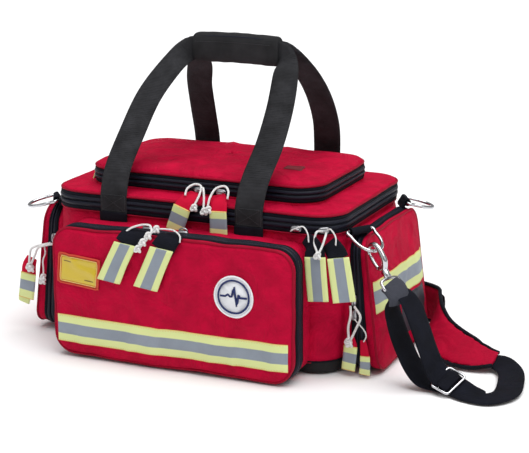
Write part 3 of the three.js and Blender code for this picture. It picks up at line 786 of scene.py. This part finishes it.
def frame_of(sx, sy, droop):
    """A D-ring's bar direction, its hanging direction and the middle of its bar."""
    out = np.array([0.866 * sx, 0.5 * sy, 0])
    bar = np.array([-out[1], out[0], 0])
    down = out * math.cos(droop) - np.array([0, 0, math.sin(droop)])
    return bar, down, np.array([250.0 * sx, 100.0 * sy, 213])


LOADED, FREE = math.radians(30), math.radians(14)  # a ring droops more with a hook on it
half = [(22.6, 10), (22.2, 22), (18.5, 33), (11, 41)]
d = [(-22.5, 0), (0, 0), (22.5, 0)] + half + [(0, 44.3)] + [(-a, b) for a, b in half[::-1]]
for sx, sy, corner, droop in (
    (1, -1, "front_right", LOADED), (-1, -1, "front_left", FREE),
    (1, 1, "rear_right", FREE), (-1, 1, "rear_left", LOADED),
):
    bar, down, at = frame_of(sx, sy, droop)
    pts = [at + bar * a + down * b for a, b in d]
    chrome("ring_" + corner + "_wire", pts, 2.5, "ring_" + corner, "dring_" + corner, closed=True, sides=12)

# ---- snap hooks ----
_, down, at = frame_of(1, -1, LOADED)
hy = unit((-0.607, 0.272, 0.748))
bar = np.array([0.5, 0.866, 0])
hz = unit(bar - hy * np.dot(bar, hy))
hx = np.cross(hy, hz)
origin = at + down * 41.5 - bar * 4.5 - hy * 4.5
JAW = (
    (11.6, 4), (9.6, 8.2), (5, 11.4), (0, 12.2), (-6, 10.6), (-10.6, 6), (-12.2, 0), (-12, -10), (-11, -18),
    (-7, -24), (-2, -28), (0, -33),
)
JAW_R = [2.5] * 6 + [3.0] * 8 + [3.6] * 6 + [4.2] * 30
EYE = (
    (-42.5, 0), (-43, 9), (-46, 16), (-52, 16.8), (-58.5, 16), (-60, 8), (-60, 0), (-60, -8), (-58.5, -16),
    (-52, -16.8), (-46, -16), (-43, -9),
)
for name, turn in (("front", 1), ("rear", -1)):
    T = np.diag([turn, turn, 1.0])

    def H(x, y, z=0.0):
        """A point in the hook's own frame: y runs from the eye to the jaw."""
        return T @ (origin + hx * x + hy * y + hz * z)

    chrome(name + "_hook_jaw", [H(*p) for p in JAW], JAW_R, node=name + "_hook", sides=12, steps=44)
    barrel = [H(0, y) for y in (-30, -31, -36, -41, -42)]
    chrome(name + "_hook_barrel", barrel, [4.6, 5.8, 5.0, 5.8, 4.8], sides=16, smooth=False)
    chrome(name + "_hook_nose", [H(-8, -21), H(0, -25), H(8, -22)], 3.2, sides=10)
    chrome(name + "_hook_eye", [H(0, y, z) for y, z in EYE], 2.3, closed=True, sides=10)
    gate = [H(11.2, 3.4), H(11.4, -6), H(10.6, -16), H(8.6, -22)]
    radii = [2.0, 2.0, 2.2, 2.6]
    chrome(name + "_gate_wire", gate, radii, name + "_gate", name + "_hook_gate", sides=10, steps=14)


# ---- zip sliders ----
def slider(node, along, out, body_name):
    """A slider on its CAD node, facing out. Returns the place where its cord ties on."""
    lo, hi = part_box(node)
    out, along = unit(out), unit(along)
    c = np.array((lo + hi) / 2) / MM + out * 1.5
    side = np.cross(along, out)
    rings = []
    for h, k in ((-2.5, 0.8), (-1.6, 1), (0.2, 1), (1.6, 0.92), (2.4, 0.75), (2.5, 0.05)):
        ring = []
        for a in angles(28):
            ca, sa = math.cos(a), math.sin(a)
            x = math.copysign(abs(ca) ** 0.6, ca) * 8.2 * k
            y = math.copysign(abs(sa) ** 0.7, sa) * (4.6 + 0.9 * ca) * k
            ring.append(c + along * x + side * y + out * h)
        rings.append(ring)
    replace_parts(loft(node + "_body", rings, [STEEL], body_name, flip=True), node)
    arch = [c + along * x + out * z for x, z in ((-6.5, 1.5), (-5.5, 4.6), (0, 6.0), (5.0, 4.6), (6.5, 1.5))]
    tube(node + "_bridge", arch, 1.25, STEEL, body_name, "slider_metal", sides=8)
    return c + out * 5.2


FORWARD = (0, -1, 0)
eyes = {}
for node, along, out, body_name in (
    ("main_slider_a", (1, 0, 0), FORWARD, "slide_main_a"),
    ("main_slider_b", (0.866, 0.5, 0), (0.5, -0.866, 0), "bag_body"),
    ("top_slider_a", (1, 0, 0), (0, -1, 0.3), "slide_top_a"),
    ("top_slider_b", (-1, 0, 0), (0, -1, 0.3), "slide_top_b"),
    ("front_slider_a", (1, 0, 0), (0, 0, 1), "slide_front_a"),
    ("front_slider_b", (-1, 0, 0), (0, 0, 1), "slide_front_b"),
    ("right_slider_a", (0, 0, 1), FORWARD, "slide_right_a"),
    ("right_slider_b", (0, 0, -1), FORWARD, "bag_body"),
    ("left_slider_a", (0, 0, 1), FORWARD, "slide_left_a"),
):
    eyes[node] = slider(node, along, out, body_name)


# ---- pulls: cord loops, knots and tags ----
def knot(name, at, body_name):
    """A tight overhand knot in the cord."""
    size = 2.7
    a = unit((0, 1, 0))
    u = unit(np.cross(a, (0.2, 0.1, 1)))
    v = np.cross(a, u)
    at = np.asarray(at, float)
    pts = []
    for t in angles(42):
        x, y, z = math.sin(t) + 2 * math.sin(2 * t), math.cos(t) - 2 * math.cos(2 * t), -math.sin(3 * t)
        pts.append(at + (u * x + v * y) * size * 0.62 + a * z * size * 0.8)
    return tube(name, pts, size * 0.72, CORD, body_name, None, closed=True, sides=8, smooth=False)


def white_cord(name, pts, body_name, d=3.3, knots=()):
    path = smooth_path(pts, max(16, int(gaps(pts).sum() / 2)))
    o = tube(name, path, d / 2, CORD, body_name, None, sides=8, smooth=False)
    extra = [knot("%s_knot_%d" % (name, i), k, body_name) for i, k in enumerate(knots)]


ALONG_STRIPES = [(0.27, 0), (0.71, 1), (1.0, 0)]
CROSS_STRIPES = [(0.05, 0), (0.29, 1), (0.68, 2), (0.95, 1), (1.0, 0)]


def tag(node, tab_rows, tab_mat, end_rows, body_name, lengthwise, cut=None):
    """A fabric pull: a folded tab and a reflective end, striped along its length or across it."""
    o = ribbon(node + "_tab", tab_rows, 2.2, [tab_mat], body_name, "charcoal_webbing", steps=18)
    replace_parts(o, node)
    shape = dict(steps=29, across=9, along=CROSS_STRIPES)
    if lengthwise:
        shape = dict(steps=18, across=25, bands=ALONG_STRIPES, cut=cut)
    mats = [YELLOW, SILVER] if lengthwise else TAPE_MATS
    end = ribbon(node + "_end", end_rows, 2.8, mats, body_name, "reflective_tape", **shape)
    if node == "main_pull_a":  # the slide takes this pull over the front pocket; here the tab and the end only get their own copy of the mesh
        for q in (o, end):
            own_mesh(q)


F = FORWARD
SLANT = (-1, 0, 0.12)
for node, mat, body_name, lengthwise, cut, tab_rows, end_rows in (
    ("main_pull_a", BLACK, "tag_main_a", True, None,
     [(190, -158, 209, 0.2, -1, 0.1, 17), (203, -167, 203, 0.1, -1, 0, 26), (209, -171, 194, 0.1, -1, 0, 30),
      (211, -172.5, 184, *F, 31)],
     [(210.6, -173, 187, *F, 32), (213, -174, 160, 0.03, -1, 0, 32), (217, -175, 123, *F, 32)]),
    ("main_pull_b", BLACK, "tag_main_b", True, None,
     [(226, -158, 207, 0.3, -0.95, 0, 24), (240, -167, 195, 0.2, -0.95, 0, 30), (245, -170, 187, 0.1, -0.98, 0, 31)],
     [(244.8, -171, 189, 0.1, -0.98, 0, 32), (250, -172, 160, 0.12, -0.98, 0, 33), (256, -173, 126, 0.1, -0.98, 0, 34)]),
    ("top_pull_a", TAB_RED, "tag_top_a", False, None,
     [(5, -132, 251.5, 0, -0.5, 0.8, 20), (2, -143, 248, 0, -0.6, 0.8, 26), (-2, -151, 241, 0, -0.9, 0.4, 27),
      (-6, -155.5, 232, *F, 27)],
     [(-5.4, -157, 234, *F, 28), (-12, -157.5, 215, *F, 28), (-18, -158, 197, *F, 28)]),
    ("top_pull_b", TAB_RED, "tag_top_b", False, None,
     [(42, -132, 251.5, 0, -0.5, 0.8, 20), (47, -143, 248, 0, -0.6, 0.8, 25), (51, -151, 241, 0, -0.9, 0.4, 26),
      (52.5, -155.5, 232, *F, 27)],
     [(52.5, -157, 234, *F, 27), (53.5, -157.5, 215, *F, 27.5), (54, -158, 196, *F, 28)]),
    ("front_pull_a", BLACK, "tag_front_a", True, SLANT,
     [(-52, -200, 204.5, 0, -0.2, 1, 30), (-54, -210, 203, 0, -0.7, 0.7, 34), (-59, -217, 197, 0, -1, 0.3, 35),
      (-66.5, -221.4, 186, *F, 34)],
     [(-65, -222.6, 188.5, *F, 36), (-80, -222.8, 159, *F, 36), (-94, -222.6, 129, *F, 38)]),
    ("front_pull_b", BLACK, "tag_front_b", True, SLANT,
     [(6, -200, 204.5, 0, -0.2, 1, 30), (4, -210, 203, 0, -0.7, 0.7, 34), (0, -217, 197, 0, -1, 0.3, 35),
      (-7, -221.4, 185, *F, 36)],
     [(-6, -222.6, 187.5, *F, 37), (-20, -222.8, 156, *F, 37), (-33.5, -222.6, 125, *F, 39)]),
    ("right_pull_a", TAB_RED, "tag_right_a", False, None,
     [(247, -124.2, 60, *F, 12), (248, -125.0, 50, *F, 18), (248, -125.0, 43, *F, 20)],
     [(248.5, -126.1, 46, *F, 21), (247, -126.2, 28, *F, 21), (245, -126.4, 9, *F, 21)]),
    ("right_pull_b", TAB_RED, "tag_right_b", False, None,
     [(266, -122.5, 56, *F, 9), (268, -123.2, 44, *F, 12), (270, -124, 30, *F, 14)],
     [(270, -124.6, 33, *F, 15), (270.5, -125, 18, *F, 16), (270, -125.4, 5, *F, 17)]),
    ("left_pull_a", TAB_RED, "tag_left_a", False, None,
     [(-285, -121.6, 118, *F, 18), (-290, -122.6, 104, *F, 24), (-291, -123.4, 90, *F, 26)],
     [(-291, -124.2, 93, *F, 27), (-293, -124.8, 74, *F, 27), (-296, -125.4, 52, *F, 27)]),
):
    tag(node, tab_rows, mat, end_rows, body_name, lengthwise, cut)
rows = [(-300, -122.6, 56, *F, 22), (-302, -122.4, 44, -0.2, -1, 0, 22)]
ribbon("left_pull_a_fold", rows, 2.4, [YELLOW], "tag_left_a", "reflective_tape", steps=6)


def near(node, x, y, z):
    """A point beside a slider's eye."""
    return eyes[node] + [x, y, z]


for name, body_name, far_end, d, pts, knots in (
    ("main_cord_a", "slide_main_a", "object", 2.2,
     [near("main_slider_a", -6, -1, -3), near("main_slider_a", 0, -3, 1), (187, -161, 226), (196, -165, 218),
      (199, -168, 206)], ()),
    ("main_cord_b", "bag_body", "knot", 3.3,
     [near("main_slider_b", -2, -2, 0), (208, -161, 220), (207, -167, 206), (215, -175, 194)], [(216, -176.5, 190)]),
    ("main_cord_c", "bag_body", "knot", 3.3,
     [near("main_slider_b", 4, -2, -1), (222, -162, 216), (221, -170, 205), (217.5, -175.5, 194)], ()),
    ("main_cord_d", "bag_body", "object", 2.2,
     [near("main_slider_b", 3, -1, 1), (229, -160, 226), (238, -164, 217), (240, -168, 206)], ()),
    ("top_cord_a", "slide_top_a", "knot", 3.3,
     [(-5, -147, 250), (-4, -142, 259), (2, -133, 264), (10, -131, 264), (17, -138, 262), (19, -149, 253),
      (15, -156.5, 240)], [(14, -157, 235)]),
    ("top_cord_b", "slide_top_a", "knot", 3.3,
     [near("top_slider_a", 6, -2, 1), (22, -142, 262), (27, -150, 250), (29, -156, 236)], [(30, -156.5, 231)]),
    ("top_cord_c", "slide_top_b", "knot", 3.3,
     [(63, -147, 251), (62, -141, 260), (55, -133, 265), (47, -131, 265), (40, -139, 262), (37, -150, 252),
      (36, -156.5, 240)], [(37, -157.5, 234)]),
    ("front_cord_a", "slide_front_a", "knot", 3.3,
     [(-70, -214, 203), (-61, -208, 210), (-47, -201, 214), (-34, -203, 214), (-28, -212, 207), (-32, -220, 197),
      (-41, -224.5, 186)], [(-30, -218, 203), (-36, -224, 194), (-43, -226, 184)]),
    ("front_cord_b", "slide_front_b", "knot", 2.4,
     [(20, -216, 198), (18, -212, 207), (6, -206, 212), (-8, -203, 212), (-20, -206, 211), (-28, -213, 206)],
     [(-22, -208, 211)]),
    ("right_cord_a", "slide_right_a", "knot", 3.8,
     [near("right_slider_a", -3, 0, -7), (248, -127, 92), (245, -128, 74), (246, -127.5, 56)],
     [(245, -127, 53), (247, -127.5, 49)]),
    ("right_cord_b", "slide_right_a", "knot", 3.8,
     [near("right_slider_a", 3, 0, -7), (263, -127, 92), (257, -128, 74), (249, -127.5, 56)], ()),
    ("right_cord_c", "bag_body", "object", 2.0,
     [near("right_slider_b", 2, 0, -4), (268, -127, 74), (272, -126, 64), (268, -126, 55)], ()),
    ("left_cord_a", "slide_left_a", "knot", 3.8,
     [near("left_slider_a", -4, 0, -7), (-280, -127, 136), (-285, -128, 122), (-287, -127.5, 108)],
     [(-287, -127.5, 105), (-284, -127.5, 101)]),
    ("left_cord_b", "slide_left_a", "knot", 3.8,
     [near("left_slider_a", 3, 0, -7), (-268, -127, 138), (-276, -128, 124), (-283, -127.5, 110)], ()),
    ("left_cord_c", "slide_left_a", "knot", 2.6,
     [(-262, -121, 138), (-260, -123, 128), (-264, -124, 116), (-263, -125, 100), (-265, -125, 86)],
     [(-265, -125.5, 83), (-264, -125.5, 89)]),
):
    white_cord(name, pts, body_name, d, knots)
# small end tab of the top pocket's zip
rows = [
    (-188, -60, 262, -1, -0.3, 0, 12), (-196, -64, 258, -0.8, -0.3, 0.5, 12), (-199, -67, 248, -1, -0.3, 0, 12),
    (-201, -69, 238, -1, -0.3, 0, 13),
]
half_red = [(0.55, 0), (1.0, 1)]
ribbon("top_zip_end_tab", rows, 2.4, [TAB_RED, YELLOW], "lid", "reflective_tape", steps=16, along=half_red)


# ---- shoulder strap ----
def webbing(name, rows, thick=2.4, mat=BLACK, slot="black_webbing", **shape):
    return ribbon(name, rows, thick, [mat], "bag_body", slot, **shape)


ex, ey, ez = origin - hy * 60  # the bar of the front hook's eye
FRONT = [
    (ex + 3, ey - 1, ez - 4, 0.65, -0.37, 0.66, 26), (334, -139, 136, 0.6, -0.4, 0.7, 30),
    (347, -140, 119, 0.8, -0.4, 0.5, 37), (359, -139.5, 89, 0.9, -0.4, 0.3, 38), (370, -138, 58, 0.9, -0.4, 0.3, 38),
    (380, -136, 33, 0.75, -0.5, 0.5, 38), (394, -135, 19, 0.4, -0.5, 0.78, 38), (414, -140, 11.5, 0.12, -0.5, 0.86, 38),
    (434, -148, 8, 0, -0.3, 0.95, 38), (462, -149, 5, 0, -0.1, 1, 38), (479, -120, 5, 0, 0, 1, 38),
    (473, -72, 6, 0, 0, 1, 38), (461, -34, 8, -0.05, -0.1, 0.98, 38), (440, -12, 11, -0.12, -0.2, 0.97, 38),
    (424, -12, 12, -0.12, -0.2, 0.97, 38),
]
o = webbing("strap_front_webbing", FRONT, steps=120, across=11)
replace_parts(o, "strap_front")
INNER = [
    (ex + 1, ey - 1, ez - 7, -0.9, 0.2, -0.3, 26), (314, -137, 120, -0.95, 0.3, -0.2, 34),
    (318, -136, 98, -0.95, 0.35, -0.2, 36), (328, -135, 69, -0.9, 0.4, -0.3, 37), (345, -134, 34, -0.75, 0.4, -0.6, 38),
    (360, -131, 13, -0.3, 0.25, -0.9, 38), (380, -128, 6, 0, 0.1, -1, 38), (402, -132, 4.5, 0, 0.05, -1, 38),
]
inner = webbing("strap_return_ply", INNER, steps=70, across=11)
rows = [
    (ex - 7, ey - 2, ez + 7, 0.3, -0.7, 0.6, 31), (ex + 3, ey - 6, ez + 2, 0.5, -0.65, 0.5, 34),
    (ex + 9, ey - 7, ez - 8, 0.75, -0.55, 0.3, 35), (ex + 9, ey - 6, ez - 19, 0.85, -0.5, -0.1, 35),
]
keeper = webbing("strap_keeper", rows, 5.5, GREY_WEB, "charcoal_webbing", steps=18, camber=1.2)
smooth_path(FRONT, 120)[:, :3] * MM
REAR = [
    (92, 178, 33, 0, -1, 0, 38), (20, 176, 26, 0, -1, 0.1, 38), (-80, 172, 24, 0, -1, 0.1, 38),
    (-180, 170, 28, 0, -1, 0, 38), (-255, 168, 40, 0.3, -0.95, 0, 38), (-305, 158, 66, 0.75, -0.6, -0.1, 38),
    (-328, 145, 105, 0.85, -0.35, -0.35, 38), (-ex - 5, -ey + 2, ez - 6.2, 0.65, -0.37, -0.66, 27),
]
o = webbing("strap_rear_webbing", REAR, steps=110, across=11)
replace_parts(o, "strap_rear")
smooth_path(REAR, 110)[::-1, :3] * MM

# shoulder pad: a foam-filled sleeve, puffed by a cloth simulation, bound in black
PAD = [
    (433, -13, 16, -0.12, -0.2, 0.97, 38), (410, -13, 16, -0.2, -0.3, 0.93, 53), (384, -8, 18.5, -0.26, -0.38, 0.89, 59),
    (346, 18, 22.5, -0.4, -0.42, 0.81, 59), (318, 50, 26, -0.58, -0.38, 0.72, 59), (306, 84, 30.5, -0.85, -0.3, 0.42, 59),
    (303, 118, 34, -0.97, -0.25, 0.05, 59), (288, 152, 34, -0.68, -0.73, 0, 59), (240, 174, 34, -0.1, -1, 0, 59),
    (170, 177, 34, 0, -1, 0, 58), (120, 178, 34, 0, -1, 0, 54), (96, 178, 33, 0, -1, 0, 38),
]
PAD_STEPS = 90
VOXEL, MOST_PUFF, FLOOR_GAP = 0.0042, 0.006, 0.002
q = smooth_path(PAD, PAD_STEPS)


def puff(pad):
    """Remeshes the sleeve, pins its edges and ends, and blows it up for 20 frames."""
    mod = pad.modifiers.new("voxel", "REMESH")
    mod.mode = "VOXEL"
    mod.voxel_size = VOXEL
    mod.use_smooth_shade = True
    bake(pad)
    rest = np.array([v.co for v in pad.data.vertices], float)
    centre = q[:, :3] * MM
    nearest = np.argmin(((rest[:, None] - centre[None]) ** 2).sum(-1), axis=1)
    reach = []
    for i, k in enumerate(nearest):
        side = across_row(q, k)[1]
        reach.append(abs(np.dot(rest[i] - centre[k], side)) / (q[k, 6] * MM / 2))
    pinned = (np.array(reach) > 0.84) | (nearest < 3) | (nearest > PAD_STEPS - 4)
    grp = pad.vertex_groups.new(name="edge")
    grp.add([int(i) for i in np.where(pinned)[0]], 1.0, "REPLACE")
    cloth = pad.modifiers.new("cloth", "CLOTH")
    cloth.settings.use_pressure = True
    cloth.settings.uniform_pressure_force = 4
    cloth.settings.effector_weights.gravity = 0
    cloth.settings.quality = 5
    cloth.settings.vertex_group_mass = "edge"
    cloth.collision_settings.use_collision = False
    for f in range(1, 21):
        scene.frame_set(f)
    dg = bpy.context.evaluated_depsgraph_get()
    moved = np.array([v.co for v in pad.evaluated_get(dg).data.vertices], float)
    pad.modifiers.clear()
    scene.frame_set(1)
    d = moved - rest
    d *= np.minimum(1, MOST_PUFF / np.maximum(np.linalg.norm(d, axis=1, keepdims=True), 1e-9))
    out = rest + d
    out[:, 2] = np.maximum(out[:, 2], FLOOR_GAP)
    for v, c in zip(pad.data.vertices, out):
        v.co = c
    for p in pad.data.polygons:
        p.use_smooth = True
    pad.data.materials.clear()
    pad.data.materials.append(PAD_RED)
    sub = pad.modifiers.new("smooth", "SUBSURF")
    sub.levels = sub.render_levels = 1
    bake(pad)


pad = ribbon("shoulder_pad_sleeve", PAD, 8, [PAD_RED], None, "padded_red", steps=PAD_STEPS)
puff(pad)
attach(pad, "bag_body")
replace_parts(pad, "shoulder_pad")


def flatten(o):
    """The right cover opens onto the pad; this only gives the piece its own copy of its mesh, nothing is pressed down.
    """
    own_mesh(o)


flatten(pad)
for s in (1, -1):
    line = [q[k, :3] + across_row(q, k)[1] * s * q[k, 6] / 2 for k in range(PAD_STEPS)]
    name = "pad_binding_%d" % (s + 1)
    flatten(tube(name, line, 3.0, BLACK, "bag_body", "black_webbing", sides=8, smooth=False))
mid = np.array([list(r[:6]) + [36] for r in q[4:-4]])
mid[:, :3] -= np.array([unit(r[3:6]) for r in q[4:-4]]) * 7.6
flatten(webbing("pad_webbing", None, 2.0, raw=mid))

# ladder buckle: a bent wire frame with a middle bar that the webbing wraps
bu = unit((56, -17, -20))
bn = unit(np.array([0.12, -0.52, 0.84]) - bu * np.dot((0.12, -0.52, 0.84), bu))
bv = np.cross(bn, bu)
bc = np.array([400, -137.5, 17.5])


def B(u, v, n=0.0):
    """A point in the buckle's own frame."""
    return bc + bu * u + bv * v + bn * n


loop = [B(u, v, 1.5 + 1.2 * math.sin(u / 8)) for u, v in round_rect(-15, 15, -20.5, 20.5, 5, 2.0)[0]]
chrome("buckle_frame", loop, 1.9, node="strap_buckle", closed=True, sides=10, smooth=False)
chrome("buckle_bar", [B(-3, v) for v in (-20, 0, 20)], 1.8, sides=10)
rows = [(*B(u, 0, n), *bn, 35) for u, n in ((-8, 2.2), (-3, 4.6), (3, 3.8), (9, 1.2))]
webbing("buckle_wrap", rows, 2.0, steps=14)

# ---- webbing tabs: the CAD's own solids, with their material and a finer edge ----
for corner in ("front_right", "front_left", "rear_right", "rear_left"):
    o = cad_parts["ring_tab_" + corner]
    o.data.materials.clear()
    o.data.materials.append(BLACK)
    m = o.modifiers.new("edge", "BEVEL")
    m.width, m.segments = 0.0006, 2

# ---- floor and light ----
bpy.ops.mesh.primitive_plane_add(size=60, location=(0, 0, -0.0005))
floor = bpy.context.object
floor.name = "floor"
floor.data.materials.append(material("floor_paper", (247, 247, 248), 1.0, spec=0.0))
world = bpy.data.worlds.new("studio")
scene.world = world
world.use_nodes = True
world.node_tree.nodes["Background"].inputs["Color"].default_value = (1, 1, 1, 1)
world.node_tree.nodes["Background"].inputs["Strength"].default_value = 0.27


def sun(name, direction, angle, strength):
    l = bpy.data.lights.new(name, "SUN")
    l.angle, l.energy = math.radians(angle), strength
    o = bpy.data.objects.new(name, l)
    scene.collection.objects.link(o)
    o.rotation_euler = Vector(direction).to_track_quat("-Z", "Y").to_euler()


sun("top", (-0.2, 0.05, -1), 60, 2.85)
sun("right", (-1, 0.5, -0.9), 50, 0.35)
sun("left", (0.6, 0.8, -0.7), 60, 0.3)
scene.view_settings.view_transform = "Standard"
scene.view_settings.look = "None"
